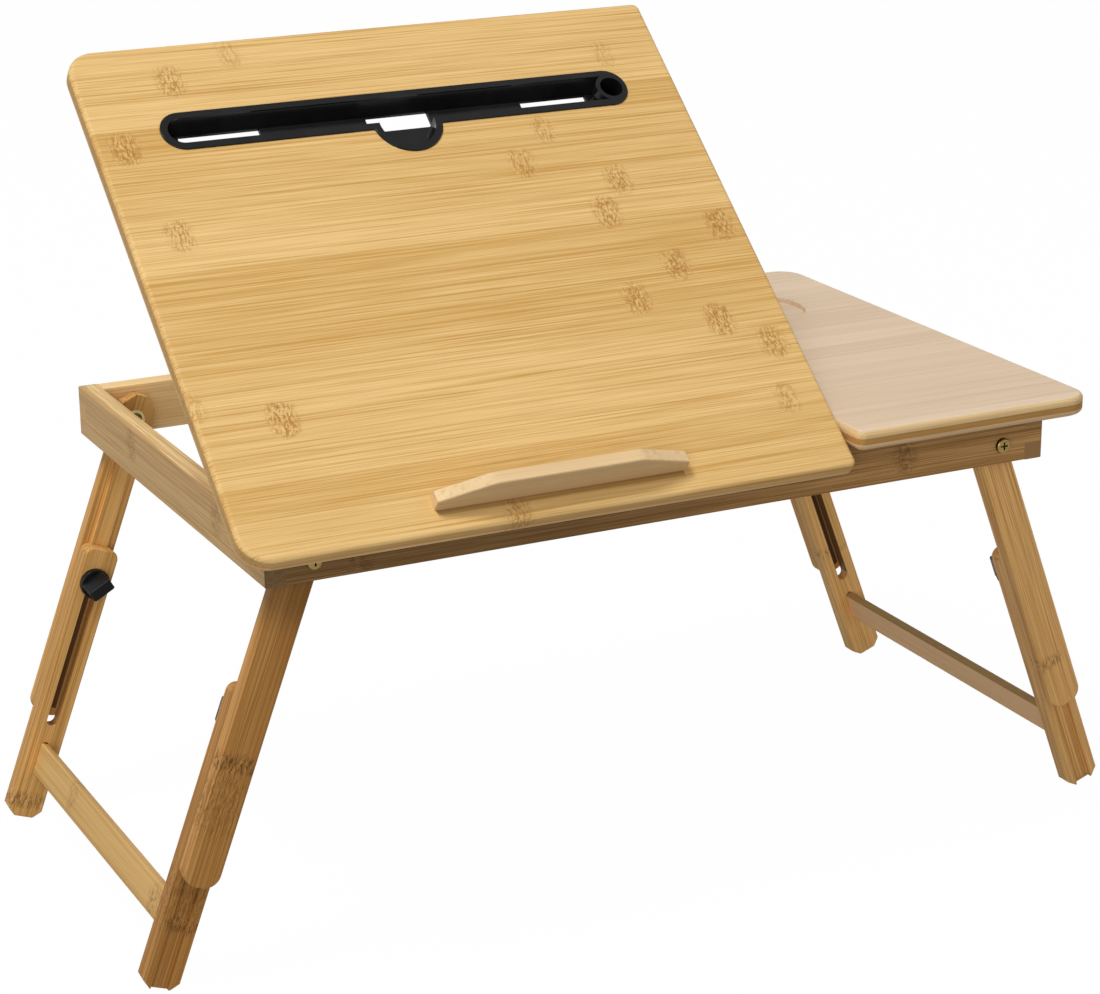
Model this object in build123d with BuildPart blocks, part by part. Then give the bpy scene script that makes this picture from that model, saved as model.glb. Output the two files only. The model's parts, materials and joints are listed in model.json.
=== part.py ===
from build123d import *
from math import cos, radians, sin, tan
import os

# A bamboo laptop bed tray: a finger-jointed frame on folding, telescoping legs, with a tilting panel,
# a fixed side panel and a drawer. Millimetres and degrees, +Z up, +Y to the back, origin on the floor
# under the middle of the tray.

# Frame
frame_length = 500.0
frame_depth = 318.0
rail_height = 31.0
rail_thickness = 12.0
rail_edge_radius = 0.8
finger_count = 3
housing_depth = 5.0

# Top panels
panel_thickness = 11.5
side_overhang = 20.0
front_overhang = 24.0
back_overhang = 11.0
outer_corner_radius = 18.0
inner_corner_radius = 4.5
panel_edge_radius = 3.0
panel_gap = 1.5
fixed_panel_width = 164.0
tilt_angle = 40.0
seat_gap = 0.3
cup_radius = 38.5
cup_depth = 3.5
cup_back_margin = 82.0
cup_edge_radius = 1.0

# Legs
splay_angle = 20.5
leg_width = 22.0
leg_length = 263.0
leg_edge_radius = 1.2
leg_head = 15.5
head_chamfer = 7.0
pivot_height = 11.5
stop_gap = 0.3
washer_thickness = 1.7
washer_gap = 0.3
washer_radius = 8.0
upper_length = 197.5
upper_end_radius = 9.0
flange_thickness = 9.5
tongue_start = 18.0
tongue_end_gap = 6.0
groove_width = 11.0
groove_depth = 3.0
slide_gap = 0.25
lower_top = 82.5
lower_thickness = 11.5
lower_top_radius = 6.0
foot_chamfer = 5.0
foot_flat = 0.35
extend_travel = 90.0
slot_width = 7.5
slot_spare = 2.5
stretcher_along = 223.2
stretcher_width = 20.5
stretcher_thickness = 5.5
stretcher_edge_radius = 1.2
mortise_length = 22.5
mortise_depth = 4.5
joint_gap = 0.1

# Leg pivots and knobs
bolt_radius = 2.5
bolt_head_radius = 4.6
bolt_head_height = 2.4
bolt_engagement = 5.5
recess_length = 5.0
recess_width = 1.1
recess_depth = 1.3
sleeve_radius = 4.0
nut_radius = 6.2
nut_recess = 2.2
nut_sink = 0.3
dish_radius = 4.4
dish_depth = 0.7
socket_radius = 2.4
socket_depth = 2.0
hex_sides = 6
run_gap = 0.05
fit_gap = 0.02
knob_setback = 22.0
knob_radius = 9.4
knob_thickness = 4.0
knob_edge_radius = 0.8
knob_gap = 0.3
blade_length = 15.5
blade_foot_width = 11.5
blade_tip_length = 15.0
blade_tip_width = 7.0
blade_height = 12.5
blade_corner_radius = 1.2
blade_angles = {"front_left": 0.0, "back_left": 140.0, "front_right": 0.0, "back_right": 25.0}
stud_radius = 3.0
stud_grip = 4.0
stud_tip_gap = 0.5
insert_radius = 4.2
insert_length = 8.0

# Panel hinges
hinge_length = 40.0
hinge_inset = 70.0
leaf_width = 10.5
leaf_thickness = 1.3
barrel_radius = 2.5
hinge_pin_radius = 1.1
knuckle_gap = 0.3
relief_gap = 0.4
knuckle_share = 0.4

# Tablet slot insert
insert_left_margin = 40.25
insert_right_margin = 34.25
slot_insert_width = 27.0
slot_insert_setback = 65.0
rim_width = 2.5
rim_height = 1.0
rim_edge_radius = 0.6
insert_wall = 2.0
channel_foot = 12.8
window_floor = 2.0
notch_radius = 22.0
notch_drop = 10.0
notch_depth = 8.0
pen_radius = 7.2
pen_wall = 2.8
pen_depth = 24.0
pen_inset = 10.5
insert_gap = 0.2
left_window_start = 8.5
left_window_length = 50.0
middle_window_length = 40.0
right_window_length = 44.0
right_window_inset = 64.0

# Stop ledge
ledge_length = 154.0
ledge_height = 18.0
ledge_end_height = 8.0
ledge_thickness = 8.0
ledge_slope_length = 32.0
ledge_shoulder_radius = 14.0
ledge_setback = 14.5
ledge_edge_radius = 0.8

# Prop under the tilting panel
prop_reach = 125.0
slat_spacing = 124.0
slat_width = 18.0
slat_height = 6.4
slat_gap = 1.9
arm_width = 8.0
arm_thickness = 8.0
arm_gap = 0.5
crossbar_radius = 4.0
prop_pin_radius = 2.0
rack_width = 14.0
rack_gap = 0.3
rack_base = 1.5
rack_tooth = 2.0
rack_pitch = 12.0
rack_teeth = 6
rack_lead = 12.0

# Divider and drawer
divider_thickness = 10.0
divider_waist = 200.0
leg_headroom = 0.8
drawer_width = 191.0
drawer_gap = 0.4
drawer_sill = 5.0
drawer_wall = 6.0
drawer_back_gap = 3.0
drawer_bottom_thickness = 3.0
drawer_bottom_lift = 2.0
groove_bite = 3.0
finger_notch_radius = 14.0
runner_web = 8.0
runner_lip = 6.0
runner_lip_lift = 1.0

# One overrun carries every cut clear of the face that it starts from
overrun = 2.0

# Frame stations
tilt = radians(tilt_angle)
splay = radians(splay_angle)
front_reach = max(
    front_overhang,
    (front_overhang - panel_edge_radius) * cos(tilt)
    + (panel_thickness - panel_edge_radius) * sin(tilt)
    + panel_edge_radius,
    (front_overhang - ledge_setback - ledge_edge_radius) * cos(tilt)
    + (panel_thickness + ledge_height - ledge_edge_radius) * sin(tilt)
    + ledge_edge_radius,
)
front_y = front_reach - (front_reach + frame_depth + back_overhang) / 2
back_y = front_y + frame_depth
mid_y = (front_y + back_y) / 2
inner_front_y = front_y + rail_thickness
inner_back_y = back_y - rail_thickness
half_length = frame_length / 2
inner_x = half_length - rail_thickness
right_edge = half_length + side_overhang
split_x = right_edge - fixed_panel_width - panel_gap / 2

# Heights, from the leg's length and splay
foot_flat_half = leg_width / 2 - foot_chamfer
pivot_z = leg_length * cos(splay) + foot_flat_half * sin(splay) - foot_flat
rail_bottom = pivot_z - pivot_height
rail_top = rail_bottom + rail_height
rail_mid = (rail_bottom + rail_top) / 2
hinge_z = rail_top + seat_gap
finger_height = rail_height / finger_count
pivot_x = inner_x - stop_gap - leg_width / 2 / cos(splay) - pivot_height * tan(splay)
folded_top = pivot_z + leg_width / 2 + leg_headroom

# Leg stations, along the leg from its pivot or in from its outer face
leg_gap = washer_thickness + washer_gap
tongue_width = groove_width - 2 * slide_gap
tongue_depth = groove_depth - slide_gap
upper_thickness = flange_thickness + tongue_depth
lower_face = flange_thickness + slide_gap
leg_depth = lower_face + lower_thickness
knob_along = lower_top + knob_setback

# Tilting panel: local x is world x, local y runs up the panel from the hinge, local z is its normal
panel_plane = Plane(
    origin=(0, front_y, hinge_z),
    x_dir=(1, 0, 0),
    z_dir=(0, -sin(tilt), cos(tilt)),
)
panel_axis = Axis(panel_plane.origin, panel_plane.z_dir)
panel_up = panel_plane.y_dir
panel_left = -half_length - side_overhang
panel_right = split_x - panel_gap / 2
panel_mid_x = (panel_left + panel_right) / 2
panel_rear = frame_depth + back_overhang
panel_mid_up = (panel_rear - front_overhang) / 2
slot_insert_length = panel_right - panel_left - insert_left_margin - insert_right_margin
fittings_x = panel_left + insert_left_margin + slot_insert_length / 2
hinge_places = (panel_left + hinge_inset, panel_right - hinge_inset)

# Prop: an isosceles triangle with the hinge, so its arms turn twice as far as the panel
slat_places = (panel_mid_x - slat_spacing / 2, panel_mid_x + slat_spacing / 2)
slat_top = hinge_z - slat_gap
slat_mid = slat_top - slat_height / 2
prop_drop = hinge_z - slat_mid
bar_offset = (rack_base + rack_tooth + rack_gap + crossbar_radius) / cos(tilt / 2)
prop_pivot = Vector(0, front_y + prop_reach, slat_mid)
arm_closed = Vector(0, prop_reach - bar_offset * sin(tilt / 2), prop_drop - bar_offset * cos(tilt / 2))
arm = arm_closed.rotate(Axis.X, 2 * tilt_angle)
bar_place = prop_pivot + arm
bar_up = (bar_place - panel_plane.origin).dot(panel_up)

ends = {"front": -1, "back": 1}
sides = {"left": -1, "right": 1}


def save(builder, name):
    builder.part.label = name
    export_step(builder.part, f"parts/{name}.step")


def end_face(end):
    return front_y if end < 0 else back_y


def leg_plane(side, end):
    """Local x runs down the leg from its pivot, local z inwards from its outer face."""
    outer_face = end_face(end) - end * (rail_thickness + leg_gap)
    return Plane(
        origin=(side * pivot_x, outer_face, pivot_z),
        x_dir=(side * sin(splay), 0, -cos(splay)),
        z_dir=(0, -end, 0),
    )


def face_edges(builder, plane, index):
    """The edges of the builder's first or last face along a plane's normal."""
    return builder.faces().filter_by(plane).sort_by(Axis(plane.origin, plane.z_dir))[index].edges()


# Frame


def long_rail(end):
    """Front or back rail, with the middle fingers of the corner joints."""
    rail_mid_y = end_face(end) - end * rail_thickness / 2
    with BuildPart() as rail:
        with Locations((0, rail_mid_y, rail_mid)):
            Box(frame_length, rail_thickness, rail_height)
        fillet(rail.edges().filter_by(Axis.X), rail_edge_radius)
        for side in sides.values():
            finger_x = side * (half_length - rail_thickness / 2 + overrun / 2)
            for step in (-finger_height, finger_height):
                with Locations((finger_x, rail_mid_y, rail_mid + step)):
                    Box(
                        rail_thickness + overrun,
                        rail_thickness + overrun,
                        finger_height,
                        mode=Mode.SUBTRACT,
                    )
            bore = Plane((side * pivot_x, end_face(end), pivot_z), z_dir=(0, -end, 0))
            with BuildSketch(bore):
                Circle(bolt_radius + run_gap)
            extrude(amount=rail_thickness, mode=Mode.SUBTRACT)
        housing_y = end_face(end) - end * (rail_thickness - housing_depth / 2)
        for x in slat_places:
            with Locations((x, housing_y, slat_top - slat_height)):
                Box(
                    slat_width,
                    housing_depth,
                    slat_height + slat_gap,
                    align=(Align.CENTER, Align.CENTER, Align.MIN),
                    mode=Mode.SUBTRACT,
                )
        with Locations((split_x, housing_y, folded_top)):
            Box(
                divider_thickness,
                housing_depth,
                rail_height,
                align=(Align.CENTER, Align.CENTER, Align.MIN),
                mode=Mode.SUBTRACT,
            )
    return rail


def cut_hinge_barrels():
    """Room for the hinge barrels along the hinge line; belongs inside a builder's block."""
    for x in hinge_places:
        with BuildSketch(Plane.YZ.offset(x - hinge_length / 2 - relief_gap)) as barrel_room:
            with Locations((front_y, hinge_z)):
                Circle(barrel_radius + relief_gap)
        extrude(barrel_room.sketch, amount=hinge_length + 2 * relief_gap, mode=Mode.SUBTRACT)


with BuildPart() as front_rail:
    add(long_rail(ends["front"]).part)
    cut_hinge_barrels()
    for x in hinge_places:
        with Locations((x, front_y, rail_top - leaf_thickness)):
            Box(
                hinge_length,
                leaf_width,
                leaf_thickness + overrun,
                align=(Align.CENTER, Align.MIN, Align.MIN),
                mode=Mode.SUBTRACT,
            )

back_rail = long_rail(ends["back"])


def side_rail(side):
    """Left or right rail, with the upper and lower fingers of the corner joints."""
    rail_mid_x = side * (half_length - rail_thickness / 2)
    with BuildPart() as rail:
        with Locations((rail_mid_x, mid_y, rail_mid)):
            Box(rail_thickness, frame_depth, rail_height)
        fillet(rail.edges().filter_by(Axis.Y), rail_edge_radius)
        for end in ends.values():
            with Locations((rail_mid_x, end_face(end) - end * (rail_thickness - overrun) / 2, rail_mid)):
                Box(
                    rail_thickness + overrun,
                    rail_thickness + overrun,
                    finger_height,
                    mode=Mode.SUBTRACT,
                )
    return rail


left_rail = side_rail(sides["left"])

# The right rail is cut down to a sill under the drawer's front
with BuildPart() as right_rail:
    add(side_rail(sides["right"]).part)
    with Locations((half_length - rail_thickness / 2, mid_y, rail_bottom + drawer_sill)):
        Box(
            rail_thickness + overrun,
            drawer_width + 2 * drawer_gap,
            rail_height,
            align=(Align.CENTER, Align.CENTER, Align.MIN),
            mode=Mode.SUBTRACT,
        )

# The divider carries both panels' edges; its ends stand clear of the folded legs
with BuildPart() as divider:
    with Locations((split_x, mid_y, folded_top)):
        Box(
            divider_thickness,
            frame_depth - 2 * rail_thickness + 2 * housing_depth,
            rail_top - folded_top,
            align=(Align.CENTER, Align.CENTER, Align.MIN),
        )
    with Locations((split_x, mid_y, rail_bottom)):
        Box(
            divider_thickness,
            divider_waist,
            rail_height,
            align=(Align.CENTER, Align.CENTER, Align.MIN),
        )


def slat(x):
    """A flat cross slat, housed in the rails, that carries one prop pin."""
    with BuildPart() as bar:
        with Locations((x, mid_y, slat_mid)):
            Box(slat_width, frame_depth - 2 * rail_thickness + 2 * housing_depth, slat_height)
        with BuildSketch(Plane.YZ.offset(x - slat_width / 2)):
            with Locations((prop_pivot.Y, prop_pivot.Z)):
                Circle(prop_pin_radius + fit_gap)
        extrude(amount=slat_width, mode=Mode.SUBTRACT)
    return bar


slat_left, slat_right = (slat(x) for x in slat_places)


def runner(end):
    """An L-shaped drawer runner between the divider and the right rail."""
    web_near = mid_y + end * (drawer_width / 2 + drawer_gap)
    start_x = split_x + divider_thickness / 2
    with BuildPart() as strip:
        with BuildSketch(Plane.YZ.offset(start_x)):
            with Locations((web_near + end * runner_web / 2, rail_mid)):
                Rectangle(runner_web, rail_height)
            with Locations((web_near - end * runner_lip / 2, rail_bottom + runner_lip_lift)):
                Rectangle(runner_lip, drawer_sill - runner_lip_lift, align=(Align.CENTER, Align.MIN))
        extrude(amount=inner_x - start_x)
    return strip


runner_front, runner_back = (runner(end) for end in ends.values())

# Fixed panel, with the cup recess towards the back
with BuildPart() as fixed_panel:
    fixed_left = right_edge - fixed_panel_width
    fixed_mid_x = (fixed_left + right_edge) / 2
    with BuildSketch(Plane.XY.offset(rail_top)) as fixed_outline:
        with Locations((fixed_mid_x, mid_y + (back_overhang - front_overhang) / 2)):
            Rectangle(fixed_panel_width, frame_depth + front_overhang + back_overhang)
        fillet(fixed_outline.vertices().group_by(Axis.X)[-1], outer_corner_radius)
        fillet(fixed_outline.vertices().group_by(Axis.X)[0], inner_corner_radius)
    extrude(amount=panel_thickness)
    fillet(face_edges(fixed_panel, Plane.XY, -1) + face_edges(fixed_panel, Plane.XY, 0), panel_edge_radius)
    with BuildSketch(Plane.XY.offset(rail_top + panel_thickness)):
        with Locations((fixed_mid_x, back_y + back_overhang - cup_back_margin)):
            Circle(cup_radius)
    extrude(amount=-cup_depth, mode=Mode.SUBTRACT)
    cup_rim = fixed_panel.edges().filter_by(GeomType.CIRCLE).sort_by(SortBy.RADIUS)[-2:]
    fillet(cup_rim.sort_by(Axis.Z)[-1], cup_edge_radius)

# Hinges: the rail's leaves hold the outer knuckles, the panel's leaves the middle one
knuckle_length = hinge_length * knuckle_share
outer_knuckle = (hinge_length - knuckle_length) / 2 - knuckle_gap


def knuckle(x_start, length):
    """A hinge knuckle, bored later; belongs inside a builder's block."""
    with BuildSketch(Plane.YZ.offset(x_start)) as ring:
        with Locations((front_y, hinge_z)):
            Circle(barrel_radius)
    extrude(ring.sketch, amount=length)


def bore_knuckles(x_start):
    """The pin bore along one hinge; belongs inside a builder's block."""
    with BuildSketch(Plane.YZ.offset(x_start)) as bore:
        with Locations((front_y, hinge_z)):
            Circle(hinge_pin_radius + run_gap)
    extrude(bore.sketch, amount=hinge_length, mode=Mode.SUBTRACT)


leaf_start = barrel_radius + relief_gap

with BuildPart() as hinge_rail_leaves:
    for x in hinge_places:
        left_end = x - hinge_length / 2
        with Locations((x, front_y + leaf_start, rail_top - leaf_thickness)):
            Box(
                hinge_length,
                leaf_width - leaf_start,
                leaf_thickness,
                align=(Align.CENTER, Align.MIN, Align.MIN),
            )
        for start in (left_end, left_end + hinge_length - outer_knuckle):
            knuckle(start, outer_knuckle)
            with Locations((start, front_y, rail_top - leaf_thickness)):
                Box(outer_knuckle, leaf_width, leaf_thickness, align=(Align.MIN, Align.MIN, Align.MIN))
        bore_knuckles(left_end)

with BuildPart() as hinge_panel_leaves:
    for x in hinge_places:
        knuckle(x - knuckle_length / 2, knuckle_length)
        with BuildSketch(panel_plane):
            with Locations((x, leaf_start)):
                Rectangle(hinge_length, leaf_width - leaf_start, align=(Align.CENTER, Align.MIN))
            with Locations((x, 0)):
                Rectangle(knuckle_length, leaf_width, align=(Align.CENTER, Align.MIN))
        extrude(amount=leaf_thickness)
        bore_knuckles(x - hinge_length / 2)

with BuildPart() as hinge_pins:
    for x in hinge_places:
        with BuildSketch(Plane.YZ.offset(x - hinge_length / 2)):
            with Locations((front_y, hinge_z)):
                Circle(hinge_pin_radius)
        extrude(amount=hinge_length)

# Tilting panel
insert_up = panel_rear - slot_insert_setback
insert_body_length = slot_insert_length - 2 * rim_width
insert_body_width = slot_insert_width - 2 * rim_width
notch_place = (fittings_x, insert_up - notch_drop)
pocket_grow = 2 * insert_gap

with BuildPart() as tilting_panel:
    with BuildSketch(panel_plane) as panel_outline:
        with Locations((panel_mid_x, panel_mid_up)):
            Rectangle(panel_right - panel_left, panel_rear + front_overhang)
        fillet(panel_outline.vertices().group_by(Axis.X)[0], outer_corner_radius)
        fillet(panel_outline.vertices().group_by(Axis.X)[-1], inner_corner_radius)
    extrude(amount=panel_thickness)
    fillet(
        face_edges(tilting_panel, panel_plane, -1) + face_edges(tilting_panel, panel_plane, 0),
        panel_edge_radius,
    )
    with BuildSketch(panel_plane):
        with Locations((fittings_x, insert_up)):
            SlotOverall(insert_body_length + pocket_grow, insert_body_width + pocket_grow)
        with Locations(notch_place):
            Circle(notch_radius - rim_width + insert_gap)
    extrude(amount=panel_thickness, mode=Mode.SUBTRACT)
    with BuildSketch(panel_plane):
        for x in hinge_places:
            with Locations((x, 0)):
                Rectangle(hinge_length, leaf_width, align=(Align.CENTER, Align.MIN))
    extrude(amount=leaf_thickness, mode=Mode.SUBTRACT)
    cut_hinge_barrels()

# The channel has an upright front wall, a back wall that leans with the tablet, and the pen tube at its right end
channel_width = insert_body_width - 2 * insert_wall
channel_front = insert_up - channel_width / 2
channel_length = insert_body_length - 2 * insert_wall
pen_place = (fittings_x + slot_insert_length / 2 - pen_inset, insert_up)
channel_side_plane = Plane(
    origin=panel_plane.from_local_coords(Vector(fittings_x - channel_length / 2, 0, 0)),
    x_dir=panel_up,
    z_dir=(1, 0, 0),
)

with BuildPart() as channel:
    with BuildSketch(channel_side_plane):
        with BuildLine():
            Polyline(
                (channel_front, window_floor),
                (channel_front + channel_foot, window_floor),
                (channel_front + channel_width, panel_thickness),
                (channel_front + channel_width, panel_thickness + rim_height),
                (channel_front, panel_thickness + rim_height),
                close=True,
            )
        make_face()
    extrude(amount=channel_length)
    with BuildSketch(panel_plane):
        with Locations((fittings_x, insert_up)):
            SlotOverall(channel_length, channel_width)
    extrude(amount=panel_thickness + rim_height, mode=Mode.INTERSECT)
    with BuildSketch(panel_plane):
        with Locations(pen_place):
            Circle(pen_radius + pen_wall)
    extrude(amount=panel_thickness + rim_height, mode=Mode.SUBTRACT)

channel_left = fittings_x - channel_length / 2
windows = (
    (channel_left + left_window_start, left_window_length),
    (fittings_x - middle_window_length / 2, middle_window_length),
    (channel_left + channel_length - right_window_inset, right_window_length),
)

with BuildPart() as notch_rim:
    with BuildSketch(panel_plane.offset(panel_thickness)):
        with Locations(notch_place):
            Circle(notch_radius)
    extrude(amount=rim_height)
    fillet(face_edges(notch_rim, panel_plane, -1), rim_edge_radius)

with BuildPart() as slot_insert:
    with BuildSketch(panel_plane.offset(panel_thickness)):
        with Locations((fittings_x, insert_up)):
            SlotOverall(slot_insert_length, slot_insert_width)
    extrude(amount=rim_height)
    fillet(face_edges(slot_insert, panel_plane, -1), rim_edge_radius)
    add(notch_rim.part)
    with BuildSketch(panel_plane):
        with Locations((fittings_x, insert_up)):
            SlotOverall(insert_body_length, insert_body_width)
        with Locations(notch_place):
            Circle(notch_radius - rim_width)
    extrude(amount=panel_thickness)
    with BuildSketch(panel_plane):
        with Locations(pen_place):
            Circle(pen_radius + pen_wall)
    extrude(amount=panel_thickness - pen_depth - insert_wall)
    add(channel.part, mode=Mode.SUBTRACT)
    with BuildSketch(panel_plane):
        for x, length in windows:
            with Locations((x, channel_front)):
                Rectangle(length, channel_foot, align=(Align.MIN, Align.MIN))
    extrude(amount=window_floor, mode=Mode.SUBTRACT)
    with BuildSketch(panel_plane.offset(panel_thickness - notch_depth)):
        with Locations(notch_place):
            Circle(notch_radius - rim_width - insert_wall)
        with Locations((fittings_x, channel_front)):
            Rectangle(
                2 * notch_radius,
                2 * notch_radius,
                align=(Align.CENTER, Align.MIN),
                mode=Mode.SUBTRACT,
            )
    extrude(amount=notch_depth + rim_height, mode=Mode.SUBTRACT)
    with BuildSketch(panel_plane.offset(panel_thickness + rim_height)):
        with Locations(pen_place):
            Circle(pen_radius)
    extrude(amount=-(pen_depth + rim_height), mode=Mode.SUBTRACT)

# Stop ledge: flat in the middle, sloping down to both ends
ledge_plane = Plane(
    origin=panel_plane.from_local_coords(
        Vector(fittings_x, ledge_setback + ledge_thickness - front_overhang, panel_thickness)
    ),
    x_dir=(1, 0, 0),
    z_dir=-panel_up,
)
ledge_half = ledge_length / 2
ledge_flat_half = ledge_half - ledge_slope_length

with BuildPart() as stop_ledge:
    with BuildSketch(ledge_plane) as ledge_outline:
        with BuildLine():
            Polyline(
                (-ledge_half, 0),
                (-ledge_half, ledge_end_height),
                (-ledge_flat_half, ledge_height),
                (ledge_flat_half, ledge_height),
                (ledge_half, ledge_end_height),
                (ledge_half, 0),
                close=True,
            )
        make_face()
        fillet(ledge_outline.vertices().group_by(Axis.Y)[-1], ledge_shoulder_radius)
    extrude(amount=ledge_thickness)
    fillet(face_edges(stop_ledge, ledge_plane, -1).sort_by(panel_axis)[-5:], ledge_edge_radius)
    fillet(face_edges(stop_ledge, ledge_plane, 0).sort_by(panel_axis)[-5:], ledge_edge_radius)

# Prop


def prop_arm(x_start):
    """A round-ended arm from the slat's pin up to the crossbar."""
    plane = Plane(origin=(x_start, prop_pivot.Y, prop_pivot.Z), x_dir=arm, z_dir=(1, 0, 0))
    with BuildPart() as bar:
        with BuildSketch(plane):
            with Locations((arm.length / 2, 0)):
                SlotCenterToCenter(arm.length, arm_width)
            Circle(prop_pin_radius + run_gap, mode=Mode.SUBTRACT)
            with Locations((arm.length, 0)):
                Circle(crossbar_radius / 2 + fit_gap, mode=Mode.SUBTRACT)
        extrude(amount=arm_thickness)
    return bar


left_arm_x = slat_places[0] + slat_width / 2 + arm_gap
right_arm_x = slat_places[1] - slat_width / 2 - arm_gap - arm_thickness
prop_arm_left = prop_arm(left_arm_x)
prop_arm_right = prop_arm(right_arm_x)

# The crossbar is a dowel with a thinner spigot in each arm
with BuildPart() as prop_crossbar:
    with BuildSketch(Plane.YZ.offset(left_arm_x + arm_thickness)):
        with Locations((bar_place.Y, bar_place.Z)):
            Circle(crossbar_radius)
    extrude(amount=right_arm_x - left_arm_x - arm_thickness)
    with BuildSketch(Plane.YZ.offset(left_arm_x)):
        with Locations((bar_place.Y, bar_place.Z)):
            Circle(crossbar_radius / 2)
    extrude(amount=right_arm_x - left_arm_x + arm_thickness)

with BuildPart() as prop_pins:
    for start in (slat_places[0] - slat_width / 2, right_arm_x):
        with BuildSketch(Plane.YZ.offset(start)):
            with Locations((prop_pivot.Y, prop_pivot.Z)):
                Circle(prop_pin_radius)
        extrude(amount=slat_width + arm_gap + arm_thickness)


def rack(x_start):
    """A toothed strip under the tilting panel; the crossbar bears on it."""
    start_up = bar_up - rack_lead
    plane = Plane(
        origin=panel_plane.from_local_coords(Vector(x_start, start_up, 0)),
        x_dir=panel_up,
        z_dir=(1, 0, 0),
    )
    teeth = []
    for step in range(rack_teeth):
        teeth += [(step * rack_pitch, -rack_base - rack_tooth), ((step + 1) * rack_pitch, -rack_base)]
    with BuildPart() as strip:
        with BuildSketch(plane):
            with BuildLine():
                Polyline((0, 0), *teeth, (rack_teeth * rack_pitch, 0), close=True)
            make_face()
        extrude(amount=rack_width)
    return strip


rack_left = rack(left_arm_x + arm_thickness + arm_gap)
rack_right = rack(right_arm_x - arm_gap - rack_width)

# Legs


def upper_leg(side, end):
    """The upper member: a flange that shows, and a tongue that runs in the lower member's groove."""
    plane = leg_plane(side, end)
    with BuildPart() as leg:
        with BuildSketch(plane) as outline:
            with Locations(((upper_length - leg_head) / 2, 0)):
                Rectangle(upper_length + leg_head, leg_width)
            chamfer(outline.vertices().group_by(Axis.X)[0], head_chamfer)
            fillet(outline.vertices().group_by(Axis.X)[-1], upper_end_radius)
        extrude(amount=flange_thickness)
        fillet(face_edges(leg, plane, 0), leg_edge_radius)
        tongue_length = upper_length - tongue_end_gap - tongue_start
        with BuildSketch(plane.offset(flange_thickness)):
            with Locations((tongue_start + tongue_length / 2, 0)):
                Rectangle(tongue_length, tongue_width)
        extrude(amount=tongue_depth)
        with BuildSketch(plane):
            Circle(sleeve_radius + run_gap)
        extrude(amount=flange_thickness, mode=Mode.SUBTRACT)
        with BuildSketch(plane.offset(flange_thickness)):
            Circle(nut_radius + run_gap)
        extrude(amount=-nut_recess, mode=Mode.SUBTRACT)
        with BuildSketch(plane.offset(upper_thickness)):
            with Locations((knob_along, 0)):
                Circle(insert_radius + fit_gap)
        extrude(amount=-insert_length, mode=Mode.SUBTRACT)
    return leg


def lower_leg(side, end):
    """The lower member: grooved on its outer face, slotted for the knob, mortised for the stretcher."""
    plane = leg_plane(side, end).offset(lower_face)
    length = leg_length - lower_top
    with BuildPart() as leg:
        with BuildSketch(plane) as outline:
            with Locations((lower_top + length / 2, 0)):
                Rectangle(length, leg_width)
            fillet(outline.vertices().group_by(Axis.X)[0], lower_top_radius)
            chamfer(outline.vertices().group_by(Axis.X)[-1], foot_chamfer)
        extrude(amount=lower_thickness)
        fillet(face_edges(leg, plane, -1), leg_edge_radius)
        with BuildSketch(plane):
            with Locations((lower_top + length / 2, 0)):
                Rectangle(length + 2 * overrun, groove_width)
        extrude(amount=groove_depth, mode=Mode.SUBTRACT)
        slot_run = extend_travel + slot_spare
        with BuildSketch(plane):
            with Locations((knob_along + slot_run / 2, 0)):
                SlotCenterToCenter(slot_run, slot_width)
        extrude(amount=lower_thickness, mode=Mode.SUBTRACT)
        with BuildSketch(plane.offset(lower_thickness)):
            with Locations((stretcher_along, 0)):
                SlotOverall(mortise_length, stretcher_thickness + 2 * joint_gap)
        extrude(amount=-mortise_depth, mode=Mode.SUBTRACT)
        split(bisect_by=Plane.XY, keep=Keep.TOP)
    return leg


def stretcher(side):
    """A flat bar between the lower legs of one side, with round-ended tenons in their mortises."""
    shoulder = rail_thickness + leg_gap + leg_depth
    tenon = mortise_depth - joint_gap
    plane = Plane(
        origin=(
            side * (pivot_x + stretcher_along * sin(splay)),
            front_y + shoulder,
            pivot_z - stretcher_along * cos(splay),
        ),
        x_dir=(side * sin(splay), 0, -cos(splay)),
        z_dir=(0, 1, 0),
    )
    span = frame_depth - 2 * shoulder
    with BuildPart() as bar:
        with BuildSketch(plane) as outline:
            Rectangle(stretcher_width, stretcher_thickness)
            fillet(outline.vertices(), stretcher_edge_radius)
        extrude(amount=span)
        with BuildSketch(plane.offset(-tenon)):
            SlotOverall(stretcher_width, stretcher_thickness)
        extrude(amount=span + 2 * tenon)
    return bar


def threaded_inserts(side):
    """The brass inserts in one side's tongues that the knob studs screw into."""
    with BuildPart() as inserts:
        for end in ends.values():
            with BuildSketch(leg_plane(side, end).offset(upper_thickness)):
                with Locations((knob_along, 0)):
                    Circle(insert_radius)
                    Circle(stud_radius + run_gap, mode=Mode.SUBTRACT)
            extrude(amount=-insert_length)
    return inserts


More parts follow.
